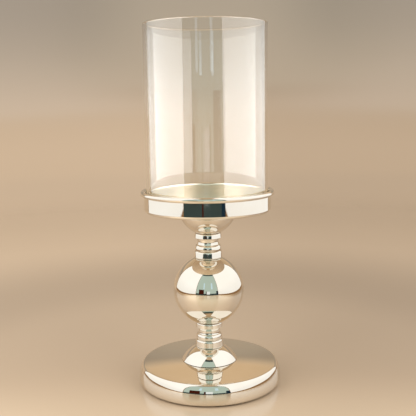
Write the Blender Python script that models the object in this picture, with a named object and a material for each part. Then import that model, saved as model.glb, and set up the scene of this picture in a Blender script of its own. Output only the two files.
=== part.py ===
"""Hurricane candle holder: a clear glass cylinder in a rimmed dish, on a turned stem with a ball and a base.

Metres, +Z up. The origin is the middle of the foot, on the surface that the holder stands on.
The metal pieces are turned about the Z axis and stacked on one threaded rod, whose nut is hidden in the base.
An outline is a closed list of (radius, height) points, with heights from the piece's own origin on the axis.
"""
import math

import bmesh
import bpy

MM = 0.001

# Fits
CLEARANCE = 0.3 * MM
ROD_PLAY = 0.5 * MM
GLASS_PLAY = 1.4 * MM

# Base
BASE_RADIUS = 76.2 * MM
BASE_HEIGHT = 22.5 * MM
BASE_SHEET = 1.5 * MM
BASE_FOOT_HEIGHT = 1.0 * MM
BASE_FOOT_TUCK = 3.0 * MM
BASE_WIDEST_HEIGHT = 7.0 * MM
BASE_SHOULDER_WIDTH = 6.2 * MM
BASE_CROWN = 1.8 * MM
FELT_THICKNESS = 1.5 * MM
FELT_MARGIN = 4.2 * MM
BOARD_THICKNESS = 2.0 * MM
BALLAST_MARGIN = 8.0 * MM
BALLAST_CHAMFER = 1.5 * MM

# Threaded rod, its nut and washer
ROD_RADIUS = 4.0 * MM
ROD_CHAMFER = 0.5 * MM
ROD_END_PAST_NUT = 1.2 * MM
NUT_HEIGHT = 5.0 * MM
NUT_ACROSS_FLATS = 13.0 * MM
WASHER_RADIUS = 12.0 * MM
WASHER_THICKNESS = 1.5 * MM

# Spun pieces of the stem
DOME_FOOT_RADIUS = 29.6 * MM
DOME_RISE = 14.1 * MM
GLOBE_RADIUS = 37.5 * MM
CUP_RIM_RADIUS = 31.5 * MM
CUP_RISE = 22.6 * MM
CUP_SWELL = 3.0 * MM
CUP_FLOOR = 1.8 * MM
CUP_RIM_WIDTH = 1.6 * MM
STEM_SHEET = 1.2 * MM

# Turned neck, the same below and above the ball, from its foot upward
COLLAR_FOOT_RADIUS = 14.2 * MM
COLLAR_FOOT_ROUNDING = 1.2 * MM
COLLAR_RADIUS = 15.1 * MM
COLLAR_BAND_HEIGHT = 4.4 * MM
COLLAR_TAPER = 0.3 * MM
COLLAR_SHOULDER_WIDTH = 1.9 * MM
COLLAR_SHOULDER_HEIGHT = 2.6 * MM
FLARE_LEDGE = 2.0 * MM
FLARE_ROUNDING_HEIGHT = 3.8 * MM
FLARE_WIDTH = 2.2 * MM
WAIST_FOOT_RADIUS = 11.7 * MM
WAIST_TOP_RADIUS = 12.0 * MM
WAIST_HEIGHT = 7.0 * MM
WAIST_HOLLOW = 0.7 * MM
BEAD_RADIUS = 14.4 * MM
BEAD_TAPER = 0.15 * MM
BEAD_SIDE_HEIGHT = 3.0 * MM
BEAD_ROUNDING_HEIGHT = 2.0 * MM
BEAD_TOP_RADIUS = 13.2 * MM

# Dish
TRAY_DEPTH = 20.5 * MM
TRAY_FLOOR = 2.0 * MM
TRAY_WALL = 1.5 * MM
TRAY_INNER_CORNER = 2.0 * MM
GLASS_SEAT_DEPTH = 0.5 * MM
RIM_BEAD_RADIUS = 2.7 * MM
BOSS_RADIUS = 10.0 * MM
BOSS_FLANGE_RADIUS = 18.0 * MM
BOSS_FLANGE_THICKNESS = 3.0 * MM
BOSS_ROOF = 3.0 * MM
BOSS_THREAD_DEPTH = 10.0 * MM

# Glass
GLASS_RADIUS = 63.5 * MM
GLASS_WALL = 3.0 * MM
GLASS_HEIGHT = 190.0 * MM
GLASS_LIP_FLAT = 0.6 * MM

# Fineness of the turned forms
STEPS_LARGE = 48
STEPS_MEDIUM = 40
STEPS_SMALL = 28
LONG_ARC = 8
MEDIUM_ARC = 6
SHORT_ARC = 4
HIDDEN_ARC = 3
LIP_ARC = 2
NUT_SIDES = 6
NUT_BORE_STEPS = 24
SHARP_ANGLE = math.radians(30)


def chord_height(sphere_radius, radius):
    """Height of a sphere's surface above its centre, at a distance from the axis."""
    return math.sqrt(sphere_radius ** 2 - radius ** 2)


def crown(radius):
    """Height that the base's slightly domed top gains over its edge, at a distance from the axis."""
    return BASE_CROWN * (1 - (radius / (BASE_RADIUS - BASE_SHOULDER_WIDTH)) ** 2)


# Radii that follow from what a piece holds
ROD_BORE = ROD_RADIUS + ROD_PLAY
THREAD_BORE = ROD_RADIUS + CLEARANCE
BASE_FOOT_RADIUS = BASE_RADIUS - BASE_FOOT_TUCK
TRAY_INNER_RADIUS = GLASS_RADIUS + GLASS_PLAY
TRAY_RADIUS = TRAY_INNER_RADIUS + TRAY_WALL
CANDLE_FLAT_RADIUS = GLASS_RADIUS - GLASS_WALL - GLASS_PLAY

# Heights inside the base, from the felt up
BOARD_BOTTOM = FELT_THICKNESS + CLEARANCE
ROD_BOTTOM = BOARD_BOTTOM + BOARD_THICKNESS + CLEARANCE
NUT_BOTTOM = ROD_BOTTOM + ROD_END_PAST_NUT
WASHER_BOTTOM = NUT_BOTTOM + NUT_HEIGHT + CLEARANCE
BALLAST_BOTTOM = WASHER_BOTTOM + WASHER_THICKNESS + CLEARANCE
BALLAST_TOP = BASE_HEIGHT - BASE_SHEET - CLEARANCE

# Heights of the stack, from the base's top up
COLLAR_HEIGHT = COLLAR_FOOT_ROUNDING + COLLAR_BAND_HEIGHT + COLLAR_SHOULDER_HEIGHT
FLARE_HEIGHT = FLARE_LEDGE + FLARE_ROUNDING_HEIGHT
SPOOL_HEIGHT = FLARE_HEIGHT + WAIST_HEIGHT
BEAD_HEIGHT = BEAD_SIDE_HEIGHT + BEAD_ROUNDING_HEIGHT
NECK_HEIGHT = COLLAR_HEIGHT + SPOOL_HEIGHT + BEAD_HEIGHT + 2 * CLEARANCE
DOME_FOOT = BASE_HEIGHT + crown(DOME_FOOT_RADIUS - STEM_SHEET) + CLEARANCE
LOWER_NECK = DOME_FOOT + DOME_RISE + CLEARANCE
GLOBE_LOWER_LAND = LOWER_NECK + NECK_HEIGHT + CLEARANCE
GLOBE_CENTRE = GLOBE_LOWER_LAND + chord_height(GLOBE_RADIUS, BEAD_TOP_RADIUS)
GLOBE_UPPER_LAND = GLOBE_CENTRE + chord_height(GLOBE_RADIUS, COLLAR_FOOT_RADIUS)
UPPER_NECK = GLOBE_UPPER_LAND + CLEARANCE
CUP_LAND = UPPER_NECK + NECK_HEIGHT + CLEARANCE
CUP_RIM = CUP_LAND + CUP_RISE
TRAY_BOTTOM = CUP_RIM + CLEARANCE
BOSS_BOTTOM = CUP_RIM - BOSS_ROOF - BOSS_THREAD_DEPTH
ROD_TOP = CUP_RIM - BOSS_ROOF - CLEARANCE
GLASS_BOTTOM = TRAY_BOTTOM + TRAY_FLOOR - GLASS_SEAT_DEPTH + CLEARANCE


def arc(centre_r, centre_z, radius_r, radius_z, start, end, pieces):
    """Points of an elliptical arc in the (radius, height) plane, from one angle to another in degrees."""
    angles = [math.radians(start + (end - start) * i / pieces) for i in range(pieces + 1)]
    return [(centre_r + radius_r * math.cos(a), centre_z + radius_z * math.sin(a)) for a in angles]


def bow(start, end, rise, pieces):
    """Points of a side that swells out between two corners, lower one first. A negative rise hollows it."""
    half_r = (end[0] - start[0]) / 2
    half_z = (end[1] - start[1]) / 2
    half_chord = math.hypot(half_r, half_z)
    side_radius = (half_chord ** 2 + rise ** 2) / (2 * rise)
    half_angle = math.degrees(math.asin(half_chord / side_radius))
    lean = math.degrees(math.atan2(half_r, half_z))
    inset = (side_radius - rise) / half_chord
    centre_r = start[0] + half_r - inset * half_z
    centre_z = start[1] + half_z + inset * half_r
    return arc(centre_r, centre_z, side_radius, side_radius, -lean - half_angle, -lean + half_angle, pieces)


def sphere_arc(centre_z, radius, from_z, to_z, pieces):
    """Arc of a sphere about the axis, between two heights."""
    start = math.degrees(math.asin((from_z - centre_z) / radius))
    end = math.degrees(math.asin((to_z - centre_z) / radius))
    return arc(0.0, centre_z, radius, radius, start, end, pieces)


def material(name, colour, metallic, roughness, transmission=0.0):
    """A plain Principled material in the piece's own colour."""
    made = bpy.data.materials.get(name) or bpy.data.materials.new(name)
    made.use_nodes = True
    shader = made.node_tree.nodes["Principled BSDF"]
    shader.inputs["Base Color"].default_value = (*colour, 1.0)
    shader.inputs["Metallic"].default_value = metallic
    shader.inputs["Roughness"].default_value = roughness
    shader.inputs["Transmission Weight"].default_value = transmission
    made.diffuse_color = (*colour, 1.0)
    return made


def silver_plate():
    return material("silver_plate", (0.86, 0.80, 0.70), 1.0, 0.06)


def clear_glass():
    return material("clear_glass", (0.93, 0.96, 0.95), 0.0, 0.02, transmission=1.0)


def zinc_steel():
    return material("zinc_steel", (0.55, 0.56, 0.57), 1.0, 0.35)


def cast_iron():
    return material("cast_iron", (0.08, 0.08, 0.085), 0.8, 0.65)


def fibreboard():
    return material("fibreboard", (0.33, 0.23, 0.14), 0.0, 0.85)


def felt():
    return material("felt", (0.03, 0.07, 0.045), 0.0, 0.95)


def add_piece(name, bm, surface, height):
    """Makes an object of a closed mesh, smooth but for its crisp edges, and puts it at its height."""
    bmesh.ops.recalc_face_normals(bm, faces=bm.faces)
    mesh = bpy.data.meshes.new(name)
    bm.to_mesh(mesh)
    bm.free()
    mesh.materials.append(surface)
    mesh.shade_smooth()
    mesh.set_sharp_from_angle(angle=SHARP_ANGLE)
    piece = bpy.data.objects.new(name, mesh)
    piece.location.z = height
    bpy.context.scene.collection.objects.link(piece)
    return piece


def turned(name, outline, surface, steps, height=0.0):
    """Turns an outline about the Z axis. An edge that lies on the axis makes no face."""
    bm = bmesh.new()
    corners = [bm.verts.new((radius, 0.0, z)) for radius, z in outline]
    edges = []
    for i, corner in enumerate(corners):
        following = corners[(i + 1) % len(corners)]
        if corner.co.x > 0.0 or following.co.x > 0.0:
            edges.append(bm.edges.new((corner, following)))
    bmesh.ops.spin(
        bm,
        geom=corners + edges,
        cent=(0.0, 0.0, 0.0),
        axis=(0.0, 0.0, 1.0),
        angle=2 * math.pi,
        steps=steps,
        use_merge=True,
    )
    bmesh.ops.remove_doubles(bm, verts=bm.verts, dist=0.001 * MM)
    return add_piece(name, bm, surface, height)


def disc(radius, thickness):
    """Outline of a plain disc."""
    return [(0.0, 0.0), (radius, 0.0), (radius, thickness), (0.0, thickness)]


def make_felt_pad():
    turned("felt_pad", disc(BASE_FOOT_RADIUS - FELT_MARGIN, FELT_THICKNESS), felt(), STEPS_LARGE)


def make_bottom_board():
    """The board that closes the base. The base's foot is turned in under its edge."""
    drop = BASE_WIDEST_HEIGHT - BOARD_BOTTOM
    full_drop = BASE_WIDEST_HEIGHT - BASE_FOOT_HEIGHT
    wall = BASE_FOOT_RADIUS - BASE_SHEET + BASE_FOOT_TUCK * chord_height(1.0, drop / full_drop)
    turned("bottom_board", disc(wall - CLEARANCE, BOARD_THICKNESS), fibreboard(), STEPS_LARGE, BOARD_BOTTOM)


def base_side(inset, shoulder_pieces):
    """The base's side from its foot to the edge of its top, set in by the sheet for the inner face."""
    tuck_height = BASE_WIDEST_HEIGHT - BASE_FOOT_HEIGHT
    tuck = arc(BASE_FOOT_RADIUS - inset, BASE_WIDEST_HEIGHT, BASE_FOOT_TUCK, tuck_height, -90, 0, SHORT_ARC)
    shoulder_r = BASE_RADIUS - BASE_SHOULDER_WIDTH - inset
    shoulder_height = BASE_HEIGHT - inset - BASE_WIDEST_HEIGHT
    shoulder = arc(
        shoulder_r, BASE_WIDEST_HEIGHT, BASE_SHOULDER_WIDTH, shoulder_height, 0, 90, shoulder_pieces
    )
    return tuck + shoulder[1:]


def crowned_top(edge_radius, edge_height):
    """Points from the rod hole out to the edge of the domed top, or of a face that lies under it."""
    reach = edge_radius - ROD_BORE
    radii = [ROD_BORE + reach * i / HIDDEN_ARC for i in range(HIDDEN_ARC + 1)]
    return [(radius, edge_height + crown(radius) - crown(edge_radius)) for radius in radii]


def make_base_shell():
    outer = base_side(0.0, LONG_ARC)
    inner = base_side(BASE_SHEET, SHORT_ARC)
    outline = outer[:-1] + crowned_top(*outer[-1])[::-1] + crowned_top(*inner[-1]) + inner[-2::-1]
    turned("base_shell", outline, silver_plate(), STEPS_LARGE)


def make_ballast_disc():
    radius = BASE_RADIUS - BASE_SHOULDER_WIDTH - BALLAST_MARGIN
    thickness = BALLAST_TOP + crown(radius - BALLAST_CHAMFER) - BALLAST_BOTTOM
    outline = [
        (ROD_BORE, 0.0),
        (radius, 0.0),
        (radius, thickness - BALLAST_CHAMFER),
        *crowned_top(radius - BALLAST_CHAMFER, thickness)[::-1],
    ]
    turned("ballast_disc", outline, cast_iron(), STEPS_MEDIUM, BALLAST_BOTTOM)


def make_rod_washer():
    outline = [
        (ROD_BORE, 0.0),
        (WASHER_RADIUS, 0.0),
        (WASHER_RADIUS, WASHER_THICKNESS),
        (ROD_BORE, WASHER_THICKNESS),
    ]
    turned("rod_washer", outline, zinc_steel(), STEPS_SMALL, WASHER_BOTTOM)


def add_ring(bm, radii, z):
    """A closed ring of points, one for each radius, evenly spaced in angle."""
    turns = [2 * math.pi * i / len(radii) for i in range(len(radii))]
    return [bm.verts.new((r * math.cos(a), r * math.sin(a), z)) for r, a in zip(radii, turns)]


def hexagon_radii():
    """Distance from the axis to the nut's six flats, in each direction of its bore's points."""
    side = 2 * math.pi / NUT_SIDES
    turns = [2 * math.pi * i / NUT_BORE_STEPS for i in range(NUT_BORE_STEPS)]
    return [NUT_ACROSS_FLATS / 2 / math.cos(a % side - side / 2) for a in turns]


def make_rod_nut():
    bm = bmesh.new()
    flats = hexagon_radii()
    bore = [THREAD_BORE] * NUT_BORE_STEPS
    rings = [add_ring(bm, flats, 0.0), add_ring(bm, flats, NUT_HEIGHT)]
    rings += [add_ring(bm, bore, NUT_HEIGHT), add_ring(bm, bore, 0.0)]
    for k, ring in enumerate(rings):
        following = rings[(k + 1) % len(rings)]
        for i in range(NUT_BORE_STEPS):
            j = (i + 1) % NUT_BORE_STEPS
            bm.faces.new((ring[i], ring[j], following[j], following[i]))
    add_piece("rod_nut", bm, zinc_steel(), NUT_BOTTOM)


def make_tie_rod():
    length = ROD_TOP - ROD_BOTTOM
    outline = [
        (0.0, 0.0),
        (ROD_RADIUS - ROD_CHAMFER, 0.0),
        (ROD_RADIUS, ROD_CHAMFER),
        (ROD_RADIUS, length - ROD_CHAMFER),
        (ROD_RADIUS - ROD_CHAMFER, length),
        (0.0, length),
    ]
    turned("tie_rod", outline, zinc_steel(), STEPS_SMALL, ROD_BOTTOM)


def spun_cap(name, rim_radius, rim_z, land_radius, land_z, height, pieces):
    """A hollow ball segment, open at its rim, with a flat land round the rod hole at its other end."""
    centre_z = (land_radius ** 2 + land_z ** 2 - rim_radius ** 2 - rim_z ** 2) / (2 * (land_z - rim_z))
    outer_radius = math.hypot(rim_radius, rim_z - centre_z)
    inner_radius = outer_radius - STEM_SHEET
    inner_land_z = land_z - math.copysign(STEM_SHEET, land_z - rim_z)
    outer = sphere_arc(centre_z, outer_radius, rim_z, land_z, pieces)
    inner = sphere_arc(centre_z, inner_radius, rim_z, inner_land_z, HIDDEN_ARC)
    outline = outer + [(ROD_BORE, land_z), (ROD_BORE, inner_land_z)] + inner[::-1]
    turned(name, outline, silver_plate(), STEPS_MEDIUM, height)


def make_lower_dome():
    spun_cap("lower_dome", DOME_FOOT_RADIUS, 0.0, COLLAR_FOOT_RADIUS, DOME_RISE, DOME_FOOT, MEDIUM_ARC)


def make_globe_halves():
    """The two halves of the ball, each cut just short of the equator, where they are brazed together."""
    seam = CLEARANCE / 2
    rim_radius = chord_height(GLOBE_RADIUS, seam)
    lower_land = GLOBE_LOWER_LAND - GLOBE_CENTRE
    upper_land = GLOBE_UPPER_LAND - GLOBE_CENTRE
    spun_cap("globe_lower_half", rim_radius, -seam, BEAD_TOP_RADIUS, lower_land, GLOBE_CENTRE, MEDIUM_ARC)
    spun_cap("globe_upper_half", rim_radius, seam, COLLAR_FOOT_RADIUS, upper_land, GLOBE_CENTRE, MEDIUM_ARC)


def make_upper_cup():
    """A spun bowl with a rounded side, from the land round the rod hole up to the dish."""
    outer = bow((BEAD_TOP_RADIUS, 0.0), (CUP_RIM_RADIUS, CUP_RISE), CUP_SWELL, MEDIUM_ARC)
    inner_rim = (CUP_RIM_RADIUS - CUP_RIM_WIDTH, CUP_RISE)
    inner = bow((BEAD_TOP_RADIUS, CUP_FLOOR), inner_rim, CUP_SWELL, HIDDEN_ARC)
    outline = [(ROD_BORE, CUP_FLOOR), (ROD_BORE, 0.0), *outer, *inner[::-1]]
    turned("upper_cup", outline, silver_plate(), STEPS_MEDIUM, CUP_LAND)


def collar_outline():
    """A ring with a rounded foot, a slightly tapered band and a rounded shoulder."""
    foot_width = COLLAR_RADIUS - COLLAR_FOOT_RADIUS
    foot = arc(COLLAR_FOOT_RADIUS, COLLAR_FOOT_ROUNDING, foot_width, COLLAR_FOOT_ROUNDING, -90, 0, HIDDEN_ARC)
    shoulder_r = COLLAR_RADIUS - COLLAR_TAPER - COLLAR_SHOULDER_WIDTH
    shoulder_z = COLLAR_FOOT_ROUNDING + COLLAR_BAND_HEIGHT
    shoulder = arc(
        shoulder_r, shoulder_z, COLLAR_SHOULDER_WIDTH, COLLAR_SHOULDER_HEIGHT, 0, 90, SHORT_ARC
    )
    return [(ROD_BORE, 0.0), *foot, *shoulder, (ROD_BORE, COLLAR_HEIGHT)]


def spool_outline():
    """A hollow waist on a flared foot that is rounded at its top."""
    flare = arc(WAIST_FOOT_RADIUS, FLARE_LEDGE, FLARE_WIDTH, FLARE_ROUNDING_HEIGHT, 0, 90, SHORT_ARC)
    waist = bow(flare[-1], (WAIST_TOP_RADIUS, SPOOL_HEIGHT), -WAIST_HOLLOW, SHORT_ARC)
    foot = (WAIST_FOOT_RADIUS + FLARE_WIDTH, 0.0)
    return [(ROD_BORE, 0.0), foot, *flare, *waist[1:], (ROD_BORE, SPOOL_HEIGHT)]


def bead_outline():
    """A ring with a sharp lower edge, a slightly tapered side and a rounded top."""
    rounding_width = BEAD_RADIUS - BEAD_TAPER - BEAD_TOP_RADIUS
    rounding = arc(
        BEAD_TOP_RADIUS, BEAD_SIDE_HEIGHT, rounding_width, BEAD_ROUNDING_HEIGHT, 0, 90, HIDDEN_ARC
    )
    return [(ROD_BORE, 0.0), (BEAD_RADIUS, 0.0), *rounding, (ROD_BORE, BEAD_HEIGHT)]


def make_neck(prefix, foot):
    """Three turned pieces, one on the other: collar, spool and bead."""
    spool_foot = foot + COLLAR_HEIGHT + CLEARANCE
    bead_foot = spool_foot + SPOOL_HEIGHT + CLEARANCE
    turned(prefix + "_neck_collar", collar_outline(), silver_plate(), STEPS_SMALL, foot)
    turned(prefix + "_neck_spool", spool_outline(), silver_plate(), STEPS_SMALL, spool_foot)
    turned(prefix + "_neck_bead", bead_outline(), silver_plate(), STEPS_SMALL, bead_foot)


def make_tray_boss():
    """The flanged boss under the dish. The rod's upper end is screwed into its blind hole."""
    length = BOSS_THREAD_DEPTH + BOSS_ROOF
    flange_bottom = length - BOSS_FLANGE_THICKNESS
    outline = [
        (THREAD_BORE, 0.0),
        (BOSS_RADIUS, 0.0),
        (BOSS_RADIUS, flange_bottom),
        (BOSS_FLANGE_RADIUS, flange_bottom),
        (BOSS_FLANGE_RADIUS, length),
        (0.0, length),
        (0.0, BOSS_THREAD_DEPTH),
        (THREAD_BORE, BOSS_THREAD_DEPTH),
    ]
    turned("tray_boss", outline, zinc_steel(), STEPS_SMALL, BOSS_BOTTOM)


def make_tray():
    """A flat-floored dish whose wall ends in a rolled rim that stands outside it.

    The glass stands in a shallow seat, turned into the floor between the candle's flat and the wall.
    """
    seat_z = TRAY_FLOOR - GLASS_SEAT_DEPTH
    corner_r = TRAY_INNER_RADIUS - TRAY_INNER_CORNER
    corner_z = seat_z + TRAY_INNER_CORNER
    outer_corner_size = TRAY_INNER_CORNER + TRAY_WALL
    rim_r = TRAY_INNER_RADIUS + RIM_BEAD_RADIUS
    rim_z = TRAY_FLOOR + TRAY_DEPTH - RIM_BEAD_RADIUS
    wall_angle = math.degrees(math.acos((TRAY_RADIUS - rim_r) / RIM_BEAD_RADIUS))
    outer_corner = arc(corner_r, outer_corner_size, outer_corner_size, outer_corner_size, -90, 0, SHORT_ARC)
    rim = arc(rim_r, rim_z, RIM_BEAD_RADIUS, RIM_BEAD_RADIUS, -wall_angle, 180, LONG_ARC)
    inner_corner = arc(corner_r, corner_z, TRAY_INNER_CORNER, TRAY_INNER_CORNER, 0, -90, HIDDEN_ARC)
    seat_step = [(CANDLE_FLAT_RADIUS, seat_z), (CANDLE_FLAT_RADIUS, TRAY_FLOOR)]
    outline = [(0.0, 0.0), *outer_corner, *rim, *inner_corner, *seat_step, (0.0, TRAY_FLOOR)]
    turned("tray", outline, silver_plate(), STEPS_LARGE, TRAY_BOTTOM)


def make_glass_cylinder():
    """An open tube with rounded lips. It stands loose in the dish and lifts out along the Z axis."""
    lip = (GLASS_WALL - GLASS_LIP_FLAT) / 2
    outer_lip = GLASS_RADIUS - lip
    inner_lip = GLASS_RADIUS - GLASS_WALL + lip
    lips = [
        (outer_lip, lip, -90),
        (outer_lip, GLASS_HEIGHT - lip, 0),
        (inner_lip, GLASS_HEIGHT - lip, 90),
        (inner_lip, lip, 180),
    ]
    outline = []
    for centre_r, centre_z, start in lips:
        outline += arc(centre_r, centre_z, lip, lip, start, start + 90, LIP_ARC)
    turned("glass_cylinder", outline, clear_glass(), STEPS_LARGE, GLASS_BOTTOM)


def main():
    for old in list(bpy.data.objects):
        bpy.data.objects.remove(old)
    make_felt_pad()
    make_bottom_board()
    make_base_shell()
    make_ballast_disc()
    make_rod_washer()
    make_rod_nut()
    make_tie_rod()
    make_lower_dome()
    make_neck("lower", LOWER_NECK)
    make_globe_halves()
    make_neck("upper", UPPER_NECK)
    make_upper_cup()
    make_tray_boss()
    make_tray()
    make_glass_cylinder()


main()
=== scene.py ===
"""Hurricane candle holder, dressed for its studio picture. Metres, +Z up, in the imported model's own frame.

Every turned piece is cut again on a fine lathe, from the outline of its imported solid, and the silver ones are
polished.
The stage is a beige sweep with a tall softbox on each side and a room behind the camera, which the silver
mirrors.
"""

import math

import bpy
from mathutils import Euler, Matrix, Vector


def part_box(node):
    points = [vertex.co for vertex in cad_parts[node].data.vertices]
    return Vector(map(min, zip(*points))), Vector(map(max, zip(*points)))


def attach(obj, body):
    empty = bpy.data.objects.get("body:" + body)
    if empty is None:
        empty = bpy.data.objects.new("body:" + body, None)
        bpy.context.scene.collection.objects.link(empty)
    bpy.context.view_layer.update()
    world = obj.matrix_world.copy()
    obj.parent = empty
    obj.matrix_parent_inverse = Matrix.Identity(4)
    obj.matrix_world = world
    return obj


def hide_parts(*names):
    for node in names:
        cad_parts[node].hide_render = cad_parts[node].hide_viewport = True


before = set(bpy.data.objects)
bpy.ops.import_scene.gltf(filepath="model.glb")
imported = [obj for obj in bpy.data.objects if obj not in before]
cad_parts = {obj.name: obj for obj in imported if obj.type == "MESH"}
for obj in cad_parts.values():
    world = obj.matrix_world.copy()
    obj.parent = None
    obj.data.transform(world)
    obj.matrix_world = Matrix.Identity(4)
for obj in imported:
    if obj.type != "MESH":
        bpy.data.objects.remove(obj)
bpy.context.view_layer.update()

MM = 0.001

# Camera, as fitted to the photograph
CAMERA_PLACE = (0.557 * MM, -738.02 * MM, 298.249 * MM)
CAMERA_DOWN = math.radians(8.470)
CAMERA_ROLL = math.radians(-0.812)
LENS = 61.41
SENSOR = 36.0
LIGHT_BOUNCES = 32

# Fineness of the turned forms. The round at a corner takes at most EDGE_SHARE of the run on each side
STEPS_LARGE = 224
STEPS_SMALL = 128
SMALL_RADIUS = 20 * MM
ARC_STEP = math.radians(3)
EDGE_ROUND = 0.18 * MM
EDGE_SHARE = 0.3
EDGE_PIECES = 3

# What counts as a corner of an outline
SHARP_TURN = math.radians(50)
LAND_TURN = math.radians(18)
FLAT_RUN = 3 * MM
LONG_NEIGHBOUR = 2.2
SAME = 1e-6
OUTLINE_DIGITS = 7


# Outlines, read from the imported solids

def outline_links(node):
    """The neighbours of each (radius, height) point of the node in the half plane y = 0, x >= 0."""
    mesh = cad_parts[node].data
    links = {}
    for edge in mesh.edges:
        ends = [mesh.vertices[i].co for i in edge.vertices]
        if not all(abs(p.y) < SAME and p.x > -SAME for p in ends):
            continue
        a, b = [(round(p.x, OUTLINE_DIGITS), round(p.z, OUTLINE_DIGITS)) for p in ends]
        if a != b:
            links.setdefault(a, set()).add(b)
            links.setdefault(b, set()).add(a)
    return links


def outline_of(node):
    """The node's outline in that half plane, as (radius, height) points in order.

    A solid with no hole has an open outline, whose two ends are carried on to the axis.
    """
    links = outline_links(node)
    start = min(links, key=lambda p: (len(links[p]), p[1], p[0]))
    points = [start]
    while True:
        onward = [p for p in sorted(links[points[-1]]) if p not in points]
        if not onward:
            break
        points.append(onward[0])
    if len(links[start]) == 1:
        points = [(0.0, points[0][1]), *points, (0.0, points[-1][1])]
    area = sum(a[0] * b[1] - b[0] * a[1] for a, b in zip(points, points[1:] + points[:1]))
    if area < 0:
        points.reverse()
    return [Vector(p) for p in points]


def runs_of(points):
    """The step from each point of a closed outline to the next."""
    return [following - point for point, following in zip(points, points[1:] + points[:1])]


def turn_between(a, b):
    """Signed angle from direction a to direction b, in the outline's plane."""
    return math.atan2(a.x * b.y - a.y * b.x, a.dot(b))


def corner_marks(points):
    """Which points are crisp corners, and not points of a rounded stretch."""
    count = len(points)
    runs = runs_of(points)
    turns = [turn_between(runs[i - 1], runs[i]) for i in range(count)]
    marks = []
    for i in range(count):
        on_axis = points[i].x < SAME
        beside_flat = any(abs(run.y) < SAME and run.length > FLAT_RUN for run in (runs[i - 1], runs[i]))
        bends_back = turns[i] * turns[i - 1] < 0 or turns[i] * turns[(i + 1) % count] < 0
        sharp = abs(turns[i]) > SHARP_TURN
        land = abs(turns[i]) > LAND_TURN and (beside_flat or bends_back)
        marks.append(on_axis or sharp or land)
    return marks


def circle_tangent(before, after):
    """Direction at the middle one of three points on a circle. A much longer neighbour is a straight run."""
    if before.length > LONG_NEIGHBOUR * after.length:
        return before.normalized()
    if after.length > LONG_NEIGHBOUR * before.length:
        return after.normalized()
    return (before.normalized() * after.length + after.normalized() * before.length).normalized()


def mirrored(tangent, run):
    """The tangent at an arc's other end."""
    along = run.normalized()
    return (2 * tangent.dot(along) * along - tangent).normalized()


def span(a, b, t0, t1):
    """Samples of a smooth curve from a to b with those end tangents, as (point, tangent) pairs."""
    run = b - a
    bend = abs(turn_between(t0, t1))
    reach = run.length
    if bend > SAME:
        reach *= 2 * math.tan(bend / 4) / math.sin(bend / 2)
    pieces = max(1, math.ceil(bend / ARC_STEP))
    samples = []
    for k in range(pieces + 1):
        s = k / pieces
        place = (
            a * (2 * s ** 3 - 3 * s ** 2 + 1)
            + t0 * reach * (s ** 3 - 2 * s ** 2 + s)
            + b * (3 * s ** 2 - 2 * s ** 3)
            + t1 * reach * (s ** 3 - s ** 2)
        )
        slope = (
            a * (6 * s ** 2 - 6 * s)
            + t0 * reach * (3 * s ** 2 - 4 * s + 1)
            + b * (6 * s - 6 * s ** 2)
            + t1 * reach * (3 * s ** 2 - 2 * s)
        )
        samples.append((place, slope.normalized()))
    return samples


def end_tangents(run, at_start, at_end, corner_start, corner_end):
    """The tangents at a run's ends. A corner mirrors the other end, and a run between corners is straight."""
    if corner_start and corner_end:
        return run.normalized(), run.normalized()
    if corner_start:
        return mirrored(at_end, run), at_end
    if corner_end:
        return at_start, mirrored(at_start, run)
    return at_start, at_end


def smooth_spans(points, marks):
    """The samples of each run of the outline, from one point to the next."""
    count = len(points)
    runs = runs_of(points)
    smooth = [circle_tangent(runs[i - 1], runs[i]) for i in range(count)]
    spans = []
    for i in range(count):
        j = (i + 1) % count
        t0, t1 = end_tangents(runs[i], smooth[i], smooth[j], marks[i], marks[j])
        spans.append(span(points[i], points[j], t0, t1))
    return spans


def corner_cuts(points, marks):
    """How much the small round at each point takes of its two runs. Arcs and the axis have no round."""
    runs = runs_of(points)
    cuts = []
    for i, point in enumerate(points):
        room = EDGE_SHARE * min(runs[i - 1].length, runs[i].length)
        cuts.append(min(EDGE_ROUND, room) if marks[i] and point.x > SAME else 0.0)
    return cuts


def trim_end(samples, cut):
    """The samples with that length cut off their end."""
    end, tangent = samples[-1]
    kept = [sample for sample in samples if (sample[0] - end).length > cut]
    return kept + [(end - tangent * cut, tangent)]


def trim_start(samples, cut):
    """The samples with that length cut off their start."""
    start, tangent = samples[0]
    kept = [sample for sample in samples if (sample[0] - start).length > cut]
    return [(start + tangent * cut, tangent)] + kept


def corner_round(start, corner, end):
    """The samples of a small round at a corner, between its two ends."""
    samples = []
    for k in range(1, EDGE_PIECES):
        s = k / EDGE_PIECES
        place = start * (1 - s) ** 2 + corner * 2 * s * (1 - s) + end * s ** 2
        slope = (corner - start) * (1 - s) + (end - corner) * s
        samples.append((place, slope.normalized()))
    return samples


def fine_outline(points):
    """The outline as (point, tangent) samples: arcs made smooth, and corners rounded a little."""
    count = len(points)
    marks = corner_marks(points)
    spans = smooth_spans(points, marks)
    cuts = corner_cuts(points, marks)
    samples = []
    for i in range(count):
        j = (i + 1) % count
        if points[i].x < SAME and points[j].x < SAME:
            continue
        piece = spans[i]
        if cuts[i]:
            piece = trim_start(piece, cuts[i])
        if cuts[j]:
            piece = trim_end(piece, cuts[j])
        if samples and not cuts[i] and points[i].x > SAME:
            piece = piece[1:]
        samples += piece
        if cuts[j]:
            following = trim_start(spans[j], cuts[j])
            samples += corner_round(piece[-1][0], points[j], following[0][0])
    if (samples[0][0] - samples[-1][0]).length < SAME:
        samples.pop()
    return samples


# Meshes

def mesh_object(name, verts, faces, material):
    mesh = bpy.data.meshes.new(name)
    mesh.from_pydata(verts, [], faces)
    mesh.shade_smooth()
    mesh.materials.append(material)
    made = bpy.data.objects.new(name, mesh)
    bpy.context.scene.collection.objects.link(made)
    return made


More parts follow.
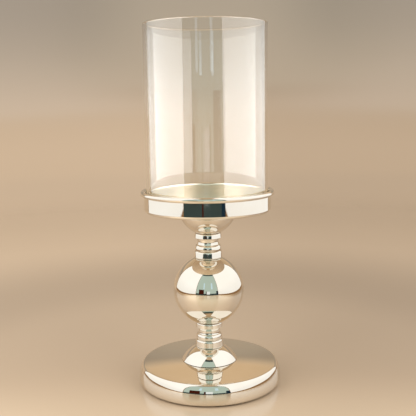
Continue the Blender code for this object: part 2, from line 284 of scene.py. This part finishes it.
def band_faces(ring, following, steps):
    """The faces between two rings of points. A ring on the axis is a single point."""
    if len(ring) == 1 and len(following) == 1:
        return []
    faces = []
    for i in range(steps):
        j = (i + 1) % steps
        if len(ring) == 1:
            faces.append((ring[0], following[j], following[i]))
        elif len(following) == 1:
            faces.append((ring[i], ring[j], following[0]))
        else:
            faces.append((ring[i], ring[j], following[j], following[i]))
    return faces


def lathe(name, samples, material):
    """Turns the samples about the Z axis. Normals are set from the tangents, so that arcs mirror cleanly."""
    widest = max(place.x for place, tangent in samples)
    steps = STEPS_LARGE if widest > SMALL_RADIUS else STEPS_SMALL
    directions = [2 * math.pi * i / steps for i in range(steps)]
    verts, normals, rings = [], [], []
    for place, tangent in samples:
        radius = max(place.x, 0.0)
        if radius < SAME:
            rings.append([len(verts)])
            verts.append((0.0, 0.0, place.y))
            normals.append((0.0, 0.0, -1.0 if tangent.x > 0 else 1.0))
            continue
        rings.append(range(len(verts), len(verts) + steps))
        for a in directions:
            verts.append((radius * math.cos(a), radius * math.sin(a), place.y))
            normals.append((tangent.y * math.cos(a), tangent.y * math.sin(a), -tangent.x))
    faces = []
    for ring, following in zip(rings, rings[1:] + rings[:1]):
        faces += band_faces(ring, following, steps)
    piece = mesh_object(name, verts, faces, material)
    piece.data.normals_split_custom_set_from_vertices(normals)
    return piece


# Node helpers

class Nodes:
    """Short calls for building the node tree of a material or world."""

    # Sockets of a Mix node that mixes colours
    MIX_FACTOR, MIX_A, MIX_B, MIX_RESULT = 0, 6, 7, 2

    def __init__(self, owner):
        self.owner = owner
        owner.use_nodes = True
        self.tree = owner.node_tree

    def add(self, kind, **inputs):
        node = self.tree.nodes.new(kind)
        for key, value in inputs.items():
            self.link(value, node.inputs[key])
        return node

    def link(self, source, target):
        """Connects a socket, or sets a plain number or opaque colour."""
        if isinstance(source, bpy.types.NodeSocket):
            self.tree.links.new(source, target)
        elif target.type == "RGBA":
            target.default_value = (*source, 1.0)
        else:
            target.default_value = source

    def math(self, operation, a, b=0.0):
        node = self.tree.nodes.new("ShaderNodeMath")
        node.operation = operation
        self.link(a, node.inputs[0])
        self.link(b, node.inputs[1])
        return node.outputs[0]

    def plus(self, a, b):
        return self.math("ADD", a, b)

    def minus(self, a, b):
        return self.math("SUBTRACT", a, b)

    def times(self, a, b):
        return self.math("MULTIPLY", a, b)

    def at_most(self, a, b):
        return self.math("MINIMUM", a, b)

    def place(self):
        return self.add("ShaderNodeTexCoord").outputs["Object"]

    def split(self, vector):
        return self.add("ShaderNodeSeparateXYZ", Vector=vector).outputs

    def join(self, x, y, z):
        return self.add("ShaderNodeCombineXYZ", X=x, Y=y, Z=z).outputs[0]

    def noise(self, vector, scale, detail, roughness):
        inputs = {"Vector": vector, "Scale": scale, "Detail": detail, "Roughness": roughness}
        return self.add("ShaderNodeTexNoise", **inputs).outputs["Fac"]

    def ramp(self, value, low, high, out_low=0.0, out_high=1.0, soft=False):
        inputs = {"Value": value, "From Min": low, "From Max": high, "To Min": out_low, "To Max": out_high}
        node = self.add("ShaderNodeMapRange", **inputs)
        node.interpolation_type = "SMOOTHSTEP" if soft else "LINEAR"
        return node.outputs["Result"]

    def mix(self, factor, a, b):
        node = self.tree.nodes.new("ShaderNodeMix")
        node.data_type = "RGBA"
        self.link(factor, node.inputs[self.MIX_FACTOR])
        self.link(a, node.inputs[self.MIX_A])
        self.link(b, node.inputs[self.MIX_B])
        return node.outputs[self.MIX_RESULT]

    def mix_shaders(self, factor, a, b):
        node = self.tree.nodes.new("ShaderNodeMixShader")
        for source, target in zip((factor, a, b), node.inputs):
            self.link(source, target)
        return node.outputs[0]

    def bump(self, height, distance, **normal):
        return self.add("ShaderNodeBump", Strength=1.0, Distance=distance, Height=height, **normal).outputs[0]

    def radius(self, x, y):
        """Distance from the Z axis."""
        return self.math("SQRT", self.plus(self.times(x, x), self.times(y, y)))

    def shade(self, level, value, *steps):
        """A level that changes softly with the value. Each step has its start and end in mm, and its rise."""
        for low, high, rise in steps:
            level = self.plus(level, self.ramp(value, low * MM, high * MM, 0.0, rise, soft=True))
        return level

    def set(self, **values):
        """Sets the surface's inputs, and gives the finished material."""
        surface = self.tree.nodes["Principled BSDF"]
        for key, value in values.items():
            self.link(value, surface.inputs[key.replace("_", " ")])
        return self.owner


def new_material(name):
    return Nodes(bpy.data.materials.new(name))


AXIS_GUARD = 1 * MM
LEVEL_FACE_SLANT = 0.83


def lathe_coordinates(n, across, along):
    """Coordinates that change quickly along the outline and slowly round the axis, with no seam.

    A share of the radius is added to the height, so that level faces get rings as well.
    """
    x, y, z = n.split(n.place())
    radius = n.radius(x, y)
    safe = n.math("MAXIMUM", radius, AXIS_GUARD)
    east = n.times(n.math("DIVIDE", x, safe), along)
    north = n.times(n.math("DIVIDE", y, safe), along)
    height = n.times(n.plus(z, n.times(radius, LEVEL_FACE_SLANT)), across)
    return n.join(east, north, height)


# Silver. A noise has its scale, detail and roughness, and a range says between which of its levels it acts

SILVER = (0.870, 0.825, 0.745)
SILVER_WORN = (0.845, 0.785, 0.690)
SMUDGE_NOISE = (28.0, 4.0, 0.6)
SMUDGE_COLOUR_RANGE = (0.42, 0.72)
SMUDGE_DULL_RANGE = (0.45, 0.75)
SMUDGE_DULLS = 0.03
LINE_NOISE = (1.0, 3.0, 0.7)
LINE_WRAP = 1.6
LINE_DULL_RANGE = (0.5, 0.8)
LINE_DULLS = 0.02

# The satin inside of the dish, painted a lighter cream than the silver as painted light
SATIN_PAINTED_LIGHT_COLOUR = (0.990, 0.900, 0.770)
SATIN_ROUGHNESS = 0.30
SATIN_NOISE = (1.0, 2.0, 0.6)
SATIN_RINGS = 420.0
SATIN_WRAP = 0.5
SATIN_RING_DEPTH = 0.05 * MM


def inside_of(n, reach, floor):
    """1 within that radius and above that height, 0 elsewhere."""
    x, y, z = n.split(n.place())
    within = n.math("LESS_THAN", n.radius(x, y), reach)
    return n.times(within, n.math("GREATER_THAN", z, floor))


def silver(name, lines, line_depth, base_roughness, satin_and_painted_light_inside=None):
    """Polished silver plate: a warm mirror with turning lines, faint smudges and a trace of tarnish.

    Within the radius and height given for the dish's inside, it is left satin, and painted a lighter cream than
    the silver as painted light.
    """
    n = new_material(name)
    smudge = n.noise(n.place(), *SMUDGE_NOISE)
    fine = n.noise(lathe_coordinates(n, lines, LINE_WRAP), *LINE_NOISE)
    colour = n.mix(n.ramp(smudge, *SMUDGE_COLOUR_RANGE), SILVER, SILVER_WORN)
    smudged = n.ramp(smudge, *SMUDGE_DULL_RANGE, base_roughness, base_roughness + SMUDGE_DULLS)
    roughness = n.plus(smudged, n.ramp(fine, *LINE_DULL_RANGE, 0.0, LINE_DULLS))
    normal = n.bump(fine, line_depth)
    if satin_and_painted_light_inside:
        satin_and_painted_light = inside_of(n, *satin_and_painted_light_inside)
        # Painted light: the dish's inside is painted a lighter cream than the silver
        colour = n.mix(satin_and_painted_light, colour, SATIN_PAINTED_LIGHT_COLOUR)
        roughness = n.plus(roughness, n.times(satin_and_painted_light, SATIN_ROUGHNESS))
        rings = n.noise(lathe_coordinates(n, SATIN_RINGS, SATIN_WRAP), *SATIN_NOISE)
        normal = n.bump(n.times(rings, satin_and_painted_light), SATIN_RING_DEPTH, Normal=normal)
    return n.set(Base_Color=colour, Metallic=1.0, Roughness=roughness, Normal=normal)


# The other materials

GLASS_TINT = (0.985, 0.990, 0.982)
GLASS_IOR = 1.47
GLASS_WAVES = (22.0, 1.0, 0.4)
GLASS_WAVE_SQUEEZE = 0.35
GLASS_WAVE_DEPTH = 0.02 * MM


def clear_glass():
    """Clear blown glass with the faintest waviness, drawn out along the tube."""
    n = new_material("clear_glass_body")
    x, y, z = n.split(n.place())
    waves = n.noise(n.join(x, y, n.times(z, GLASS_WAVE_SQUEEZE)), *GLASS_WAVES)
    return n.set(
        Base_Color=GLASS_TINT,
        Roughness=0.0,
        IOR=GLASS_IOR,
        Transmission_Weight=1.0,
        Normal=n.bump(waves, GLASS_WAVE_DEPTH),
    )


FELT_DARK = (0.012, 0.030, 0.019)
FELT_LIGHT = (0.060, 0.120, 0.080)
FELT_FIBRES = (2600.0, 4.0, 0.7)
FELT_CLUMPS = (240.0, 3.0, 0.6)
FELT_DEPTH = 0.3 * MM
FELT_ROUGHNESS = 0.95
FELT_SHEEN = 0.4


def felt():
    """Dark green felt: matted fibres."""
    n = new_material("felt_nap")
    fibres = n.noise(n.place(), *FELT_FIBRES)
    clumps = n.noise(n.place(), *FELT_CLUMPS)
    return n.set(
        Base_Color=n.mix(n.times(fibres, clumps), FELT_DARK, FELT_LIGHT),
        Roughness=FELT_ROUGHNESS,
        Sheen_Weight=FELT_SHEEN,
        Normal=n.bump(fibres, FELT_DEPTH),
    )


BOARD_DARK = (0.20, 0.13, 0.075)
BOARD_LIGHT = (0.42, 0.30, 0.19)
BOARD_CHIPS = (900.0, 5.0, 0.65)
BOARD_RANGE = (0.35, 0.65)
BOARD_ROUGHNESS = 0.85
BOARD_DEPTH = 0.08 * MM


def fibreboard():
    """Brown hardboard."""
    n = new_material("hardboard")
    chips = n.noise(n.place(), *BOARD_CHIPS)
    colour = n.mix(n.ramp(chips, *BOARD_RANGE), BOARD_DARK, BOARD_LIGHT)
    return n.set(Base_Color=colour, Roughness=BOARD_ROUGHNESS, Normal=n.bump(chips, BOARD_DEPTH))


IRON_DARK = (0.050, 0.048, 0.047)
IRON_LIGHT = (0.130, 0.110, 0.100)
IRON_GRAIN = (1100.0, 5.0, 0.7)
IRON_RANGE = (0.4, 0.7)
IRON_METALLIC = 0.75
IRON_ROUGHNESS = 0.62
IRON_DEPTH = 0.25 * MM


def cast_iron():
    """Rough sand-cast iron."""
    n = new_material("sand_cast_iron")
    grain = n.noise(n.place(), *IRON_GRAIN)
    return n.set(
        Base_Color=n.mix(n.ramp(grain, *IRON_RANGE), IRON_DARK, IRON_LIGHT),
        Metallic=IRON_METALLIC,
        Roughness=IRON_ROUGHNESS,
        Normal=n.bump(grain, IRON_DEPTH),
    )


ZINC_DARK = (0.46, 0.47, 0.48)
ZINC_LIGHT = (0.64, 0.64, 0.62)
ZINC_SPANGLE = (320.0, 3.0, 0.6)
ZINC_LINES = 5200.0
ZINC_WRAP = 3.0
ZINC_RANGE = (0.3, 0.7)
ZINC_ROUGHNESS = (0.24, 0.42)
ZINC_DEPTH = 0.02 * MM


def zinc_steel():
    """Zinc-plated steel with a fine turned grain."""
    n = new_material("zinc_plated_steel")
    fine = n.noise(lathe_coordinates(n, ZINC_LINES, ZINC_WRAP), *LINE_NOISE)
    spangle = n.noise(n.place(), *ZINC_SPANGLE)
    return n.set(
        Base_Color=n.mix(spangle, ZINC_DARK, ZINC_LIGHT),
        Metallic=1.0,
        Roughness=n.ramp(fine, *ZINC_RANGE, *ZINC_ROUGHNESS),
        Normal=n.bump(fine, ZINC_DEPTH),
    )


# Pieces

DISH_PLAY = 1.6 * MM
dish_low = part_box("tray")[0]
dish_inside = (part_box("glass_cylinder")[1].x + DISH_PLAY, dish_low.z + DISH_PLAY)
polished = silver("silver_polished", lines=2400.0, line_depth=0.0004 * MM, base_roughness=0.025)
turned_finish = silver("silver_turned", lines=1500.0, line_depth=0.0012 * MM, base_roughness=0.035,
                       satin_and_painted_light_inside=dish_inside)
glass = clear_glass()
steel = zinc_steel()


def dress(piece, body, slot, *nodes):
    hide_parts(*nodes)
    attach(piece, body)


def turned_piece(node, material, slot, body="holder"):
    """Stands for one CAD node: its outline, cut again on a fine lathe."""
    samples = fine_outline(outline_of(node))
    dress(lathe("fine_" + node, samples, material), body, slot, node)


def axis_arc(centre_z, radius, start, end):
    """The samples of an arc about a point on the axis, between two angles above the level."""
    pieces = math.ceil((end - start) / ARC_STEP)
    samples = []
    for k in range(pieces + 1):
        a = start + (end - start) * k / pieces
        place = Vector((radius * math.cos(a), centre_z + radius * math.sin(a)))
        samples.append((place, Vector((-math.sin(a), math.cos(a)))))
    return samples


def whole_ball():
    """One polished ball for its two halves: the brazed seam is ground away."""
    lower, upper = outline_of("globe_lower_half"), outline_of("globe_upper_half")
    rim_low = max(lower, key=lambda p: p.x)
    rim_high = max(upper, key=lambda p: p.x)
    centre_z = (rim_low.y + rim_high.y) / 2
    radius = math.hypot(rim_low.x, centre_z - rim_low.y)
    bore = min(p.x for p in lower)
    low_z, high_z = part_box("globe_lower_half")[0].z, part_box("globe_upper_half")[1].z
    start = math.asin((low_z - centre_z) / radius)
    end = math.asin((high_z - centre_z) / radius)
    outer = axis_arc(centre_z, radius, start, end)
    outward, inward, down = Vector((1.0, 0.0)), Vector((-1.0, 0.0)), Vector((0.0, -1.0))
    bottom, top = Vector((bore, low_z)), Vector((bore, high_z))
    land_low = [(bottom, outward), (outer[0][0], outward)]
    land_high = [(outer[-1][0], inward), (top, inward)]
    samples = land_low + outer + land_high + [(top, down), (bottom, down)]
    ball = lathe("fine_ball", samples, polished)
    dress(ball, "holder", "silver_plate", "globe_lower_half", "globe_upper_half")


for node in ("lower_dome", "upper_cup", "base_shell"):
    turned_piece(node, polished, "silver_plate")
for prefix in ("lower", "upper"):
    for ring in ("collar", "spool", "bead"):
        turned_piece(prefix + "_neck_" + ring, polished, "silver_plate")
turned_piece("tray", turned_finish, "silver_plate")
whole_ball()
turned_piece("glass_cylinder", glass, "clear_glass", "glass")
turned_piece("felt_pad", felt(), "felt")
turned_piece("bottom_board", fibreboard(), "fibreboard")
turned_piece("ballast_disc", cast_iron(), "cast_iron")
for node in ("rod_washer", "tie_rod", "tray_boss"):
    turned_piece(node, steel, "zinc_steel")
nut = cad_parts["rod_nut"]
nut.data.materials.clear()
nut.data.materials.append(steel)


# The paper sweep, with painted light and shade. A step of its painted shade has its start and end in
# millimetres, and its rise

FLOOR_RADIUS = 1300 * MM
SWEEP_RADIUS = 450 * MM
SWEEP_TOP = 2600 * MM
SWEEP_STEPS = 96
SWEEP_ARC_PIECES = 12
PAPER_TINT = (1.0, 0.750, 0.520)
PAPER_TINT_FRONT = (1.0, 0.810, 0.580)
PAPER_TINT_HIGH = (1.0, 0.800, 0.600)
PAPER_TINT_TOP = (1.0, 0.725, 0.450)
PAPER_ROUGHNESS = 0.20
PAPER_IOR = 1.75
BLACK = (0.0, 0.0, 0.0)

# Painted shade by distance from the object, and by height
FLOOR_LEVEL = 0.52
FLOOR_STEPS = ((280, 420, -0.06), (440, 780, 0.24), (1000, 1500, 0.06))
WALL_STEPS = ((120, 640, -0.36), (640, 760, 0.40))

# The floor's front, painted lighter towards the softboxes
FRONT_FROM, FRONT_TO = 20 * MM, -260 * MM
FRONT_RISE = 0.14
FRONT_SIDE_STEPS = ((-80, -300, 0.22), (80, 300, 0.16))
LIGHTEST = 0.80

# A paler patch of painted light high up behind the object
PATCH_SIDE, PATCH_MIDDLE = 460 * MM, 120 * MM
PATCH_LOW, PATCH_HIGH = 300 * MM, 600 * MM
PATCH_RISE = 0.12

# Painted shade: dimmer low down on the right
DIM_LEFT, DIM_RIGHT = -250 * MM, 300 * MM
DIM_HIGH, DIM_LOW = 500 * MM, 200 * MM
DIM_RISE = -0.15

# Heights between which the tint of the painted light changes
HIGH_TINT_RANGE = (200 * MM, 600 * MM)
TOP_TINT_RANGE = (640 * MM, 760 * MM)


def paper():
    """Beige paper under studio light, with painted light and shade: softly lighter or darker with distance,
    height and side, with a satin floor.
    """
    n = new_material("beige_paper")
    x, y, z = n.split(n.place())
    # Painted light and shade: the level lightens and darkens the paper's tint
    level = n.shade(FLOOR_LEVEL, n.radius(x, y), *FLOOR_STEPS)
    level = n.shade(level, z, *WALL_STEPS)
    forward = n.ramp(y, FRONT_FROM, FRONT_TO, soft=True)
    level = n.plus(level, n.times(forward, n.shade(FRONT_RISE, x, *FRONT_SIDE_STEPS)))
    level = n.at_most(level, LIGHTEST)
    middle = n.ramp(n.math("ABSOLUTE", x), PATCH_SIDE, PATCH_MIDDLE, 0.0, PATCH_RISE, soft=True)
    level = n.plus(level, n.times(middle, n.ramp(z, PATCH_LOW, PATCH_HIGH, soft=True)))
    low_down = n.ramp(z, DIM_HIGH, DIM_LOW, soft=True)
    dimmer = n.times(low_down, n.ramp(x, DIM_LEFT, DIM_RIGHT, 0.0, DIM_RISE, soft=True))
    level = n.times(level, n.plus(dimmer, 1.0))
    # The tint of the painted light is paler at the front and changes with height
    tint = n.mix(forward, PAPER_TINT, PAPER_TINT_FRONT)
    tint = n.mix(n.ramp(z, *HIGH_TINT_RANGE), tint, PAPER_TINT_HIGH)
    tint = n.mix(n.ramp(z, *TOP_TINT_RANGE), tint, PAPER_TINT_TOP)
    return n.set(Base_Color=n.mix(level, BLACK, tint), Roughness=PAPER_ROUGHNESS, IOR=PAPER_IOR)


def stage_mesh(name, verts, faces, material):
    made = mesh_object(name, verts, faces, material)
    return made


def make_sweep():
    """A floor that curves up all round into a wall, so that no horizon shows from any side."""
    outline = [(FLOOR_RADIUS, 0.0)]
    for k in range(1, SWEEP_ARC_PIECES + 1):
        a = math.pi / 2 * k / SWEEP_ARC_PIECES
        outline.append((FLOOR_RADIUS + SWEEP_RADIUS * math.sin(a), SWEEP_RADIUS * (1 - math.cos(a))))
    outline.append((FLOOR_RADIUS + SWEEP_RADIUS, SWEEP_TOP))
    verts = [(0.0, 0.0, 0.0)]
    for radius, z in outline:
        for i in range(SWEEP_STEPS):
            a = 2 * math.pi * i / SWEEP_STEPS
            verts.append((radius * math.cos(a), radius * math.sin(a), z))
    faces = [(0, 1 + i, 1 + (i + 1) % SWEEP_STEPS) for i in range(SWEEP_STEPS)]
    for k in range(len(outline) - 1):
        low, high = 1 + k * SWEEP_STEPS, 1 + (k + 1) * SWEEP_STEPS
        for i in range(SWEEP_STEPS):
            j = (i + 1) % SWEEP_STEPS
            faces.append((low + i, high + i, high + j, low + j))
    sweep = stage_mesh("sweep", verts, faces, paper())
    sweep.visible_shadow = False
    sweep.visible_diffuse = False


# What the silver and the glass mirror

FALLOFF_HEIGHT = 400 * MM
FADE_LOW, FADE_HIGH = 260 * MM, 470 * MM
FADE_SHARE = 0.62
BACK_FADE_START, BACK_FADE_END = -150 * MM, 420 * MM
BACK_SHARE = 0.3
GUIDED = 0.6
# Between these numbers of glass faces crossed, light from the wall turns into light from inside the tube
INSIDE_FROM, INSIDE_TO = 2.0, 4.0


def glass_strength(n, path, y, in_glass, through_glass):
    """A panel's strength in glass: in its outer reflection, along its wall, and from inside the tube."""
    crossed = path["Transmission Depth"]
    front = n.ramp(y, BACK_FADE_START, BACK_FADE_END, in_glass, in_glass * BACK_SHARE, soft=True)
    outside = n.minus(1.0, n.at_most(crossed, 1.0))
    guided = n.plus(GUIDED, n.times(outside, n.minus(front, GUIDED)))
    return n.plus(guided, n.ramp(crossed, INSIDE_FROM, INSIDE_TO, 0.0, through_glass - GUIDED))


def glow(name, colour, seen, in_glass, through_glass, foot_share=1.0):
    """A panel's light. Only what a surface has mirrored shows it, so that nothing hangs behind the glass.

    Metal mirrors the strength seen. The glass's outer reflection has in_glass, less at the panel's back.
    Light from inside the tube, as all the light in the dish is, has through_glass. Light that only ran along
    in the glass wall has GUIDED, so that the tube's edges don't glare. In glass the light also fades with
    height. Everywhere it falls off towards the panel's foot, to foot_share.
    """
    n = new_material(name)
    n.tree.nodes.remove(n.tree.nodes["Principled BSDF"])
    path = n.add("ShaderNodeLightPath").outputs
    y, z = n.split(n.place())[1:]
    high_up = n.ramp(z, FADE_LOW, FADE_HIGH, 1.0, FADE_SHARE, soft=True)
    thin = n.times(glass_strength(n, path, y, in_glass, through_glass), high_up)
    chosen = n.plus(n.times(path["Is Singular Ray"], n.minus(thin, seen)), seen)
    fall = n.ramp(z, 0.0, FALLOFF_HEIGHT, foot_share, 1.0, soft=True)
    light = n.add("ShaderNodeEmission", Color=colour, Strength=n.times(fall, chosen))
    clear = n.add("ShaderNodeBsdfTransparent")
    bounced = n.at_most(path["Glossy Depth"], 1.0)
    shown = n.mix_shaders(bounced, clear.outputs[0], light.outputs[0])
    n.link(shown, n.tree.nodes["Material Output"].inputs["Surface"])
    n.owner.cycles.emission_sampling = "NONE"
    return n.owner


def mirror_mesh(name, verts, faces, material):
    """A piece of the stage that only reflections show, with its points in millimetres."""
    made = stage_mesh(name, [tuple(c * MM for c in vert) for vert in verts], faces, material)
    made.visible_camera = False
    made.visible_diffuse = False
    made.visible_shadow = False


FRAME_MARGIN = 1.045
FRAME_BEHIND = 1.008


def framed_softbox(name, corners):
    """A softbox's cloth in its brown frame, which shows as a thin edge round it. The frame glows as a painted
    reflection.
    """
    mirror_mesh(name, corners, [(0, 1, 2, 3)], softbox)
    middle = [sum(corner[k] for corner in corners) / len(corners) for k in range(3)]
    wider = [[m + (c - m) * FRAME_MARGIN for c, m in zip(corner, middle)] for corner in corners]
    behind = [(x * FRAME_BEHIND, y * FRAME_BEHIND, z) for x, y, z in wider]
    mirror_mesh(name + "_frame", behind, [(0, 1, 2, 3)], frame_cloth)


ROOM_RADIUS = 1100
ROOM_NEAR = 1090
CARD_TURN = 6


def room_card(name, azimuths, heights, radius, material):
    """A glowing stretch of the room's wall, as painted reflection, bent round the object. Azimuth 0 is the
    camera's side, in degrees.
    """
    start, end = azimuths
    pieces = max(1, math.ceil((end - start) / CARD_TURN))
    verts, faces = [], []
    for k in range(pieces + 1):
        a = math.radians(start + (end - start) * k / pieces)
        for z in heights:
            verts.append((radius * math.sin(a), -radius * math.cos(a), z))
    for k in range(pieces):
        faces.append((2 * k, 2 * k + 2, 2 * k + 3, 2 * k + 1))
    mirror_mesh(name, verts, faces, material)


softbox = glow("softbox_cloth", (1.0, 0.995, 0.975), seen=1.20, in_glass=7.2, through_glass=4.0,
               foot_share=0.88)
# Painted reflection: the softbox's brown frame glows
frame_cloth = glow("softbox_frame", (0.30, 0.17, 0.08), seen=1.0, in_glass=0.4, through_glass=0.4)
# Front foot, back foot, back top and front top of each softbox, in millimetres
LEFT_SOFTBOX = ((-715, -809, 45), (-543, 384, 45), (-560, 500, 2500), (-300, -640, 2500))
RIGHT_SOFTBOX = ((553, -930, 45), (476, 463, 45), (500, 500, 2500), (210, -660, 2500))
framed_softbox("softbox_left", LEFT_SOFTBOX)
framed_softbox("softbox_right", RIGHT_SOFTBOX)

# Painted reflections: the room's walls, windows, lamp and furniture are glowing cards that only the silver and
# glass show
pale = glow("room_wall", (0.50, 0.62, 0.56), seen=1.0, in_glass=0.6, through_glass=2.2)
dark = glow("room_low_wall", (0.045, 0.065, 0.062), seen=1.0, in_glass=0.4, through_glass=2.2)
blue = glow("room_dark_blue", (0.012, 0.028, 0.045), seen=1.0, in_glass=0.4, through_glass=0.4)
brown = glow("room_dark_brown", (0.060, 0.012, 0.006), seen=1.0, in_glass=0.4, through_glass=0.4)
window = glow("room_window", (0.66, 0.88, 1.0), seen=0.95, in_glass=4.4, through_glass=4.4)
lamp_spot = glow("room_lamp", (0.92, 0.98, 1.0), seen=0.95, in_glass=0.6, through_glass=2.0)

# Each card has its azimuths in degrees, its heights and radius in millimetres, and its material
ROOM_WIDTH = (-58, 52)
DARK_TOP, PALE_TOP, BAND_TOP = 100, 1750, 2350
ROOM_CARDS = (
    ("room_low", ROOM_WIDTH, (0, DARK_TOP), ROOM_RADIUS, dark),
    ("room_middle", ROOM_WIDTH, (DARK_TOP, PALE_TOP), ROOM_RADIUS, pale),
    ("room_band", ROOM_WIDTH, (PALE_TOP, BAND_TOP), ROOM_RADIUS, dark),
    ("room_cupboard", (-31, -15), (60, 330), ROOM_NEAR, brown),
    ("room_plant", (24, 31), (0, 240), ROOM_NEAR, blue),
    ("room_post", (-9, -6.5), (0, 240), ROOM_NEAR, brown),
    ("room_lamp_spot", (-6, 4), (60, 230), ROOM_NEAR, lamp_spot),
    ("room_window_left", (-17, -13), (370, 800), ROOM_NEAR, window),
    ("room_window_right", (8, 13), (370, 800), ROOM_NEAR, window),
)
for card in ROOM_CARDS:
    room_card(*card)
make_sweep()


# Lamps and air

LAMP_COLOUR = (1.0, 0.985, 0.955)
LAMP_WIDTH, LAMP_HEIGHT = 1.0, 0.9
LAMP_AIM = (0.0, 0.0, 0.1)
FILL_COLOUR = (1.0, 0.985, 0.96)
FILL_STRENGTH = 0.62
AIR_COLOUR = (0.60, 0.44, 0.28)


def area_lamp(name, place, power):
    """A soft lamp, aimed at the holder, that no reflection shows."""
    data = bpy.data.lights.new(name, "AREA")
    data.shape = "RECTANGLE"
    data.size = LAMP_WIDTH
    data.size_y = LAMP_HEIGHT
    data.energy = power
    data.color = LAMP_COLOUR
    lamp = bpy.data.objects.new(name, data)
    lamp.location = place
    lamp.rotation_euler = (Vector(LAMP_AIM) - Vector(place)).to_track_quat("-Z", "Y").to_euler()
    bpy.context.scene.collection.objects.link(lamp)
    lamp.visible_camera = False
    lamp.visible_glossy = False
    lamp.visible_transmission = False


def make_world():
    """White fill light on matt surfaces. The camera, metal and glass see beige air."""
    world = bpy.data.worlds.new("studio_air")
    bpy.context.scene.world = world
    n = Nodes(world)
    n.tree.nodes.clear()
    path = n.add("ShaderNodeLightPath").outputs
    seen = n.plus(path["Is Camera Ray"], path["Is Glossy Ray"])
    seen = n.at_most(n.plus(seen, path["Is Transmission Ray"]), 1.0)
    fill = n.add("ShaderNodeBackground", Color=FILL_COLOUR, Strength=FILL_STRENGTH)
    air = n.add("ShaderNodeBackground", Color=AIR_COLOUR)
    shown = n.mix_shaders(seen, fill.outputs[0], air.outputs[0])
    n.add("ShaderNodeOutputWorld", Surface=shown)


area_lamp("lamp_left", (-0.75, -0.35, 0.75), power=9.0)
area_lamp("lamp_right", (0.75, -0.40, 0.75), power=8.0)
make_world()

# Camera
camera_data = bpy.data.cameras.new("camera")
camera_data.lens = LENS
camera_data.sensor_width = SENSOR
camera = bpy.data.objects.new("camera", camera_data)
bpy.context.scene.collection.objects.link(camera)
tilt = Euler((math.pi / 2 - CAMERA_DOWN, 0.0, 0.0)).to_matrix().to_4x4()
camera.matrix_world = Matrix.Translation(CAMERA_PLACE) @ tilt @ Matrix.Rotation(CAMERA_ROLL, 4, "Z")
bpy.context.scene.camera = camera

# Light paths and colours
cycles = bpy.context.scene.cycles
cycles.max_bounces = LIGHT_BOUNCES
cycles.glossy_bounces = LIGHT_BOUNCES
cycles.transmission_bounces = LIGHT_BOUNCES
cycles.transparent_max_bounces = LIGHT_BOUNCES
bpy.context.scene.view_settings.view_transform = "Standard"
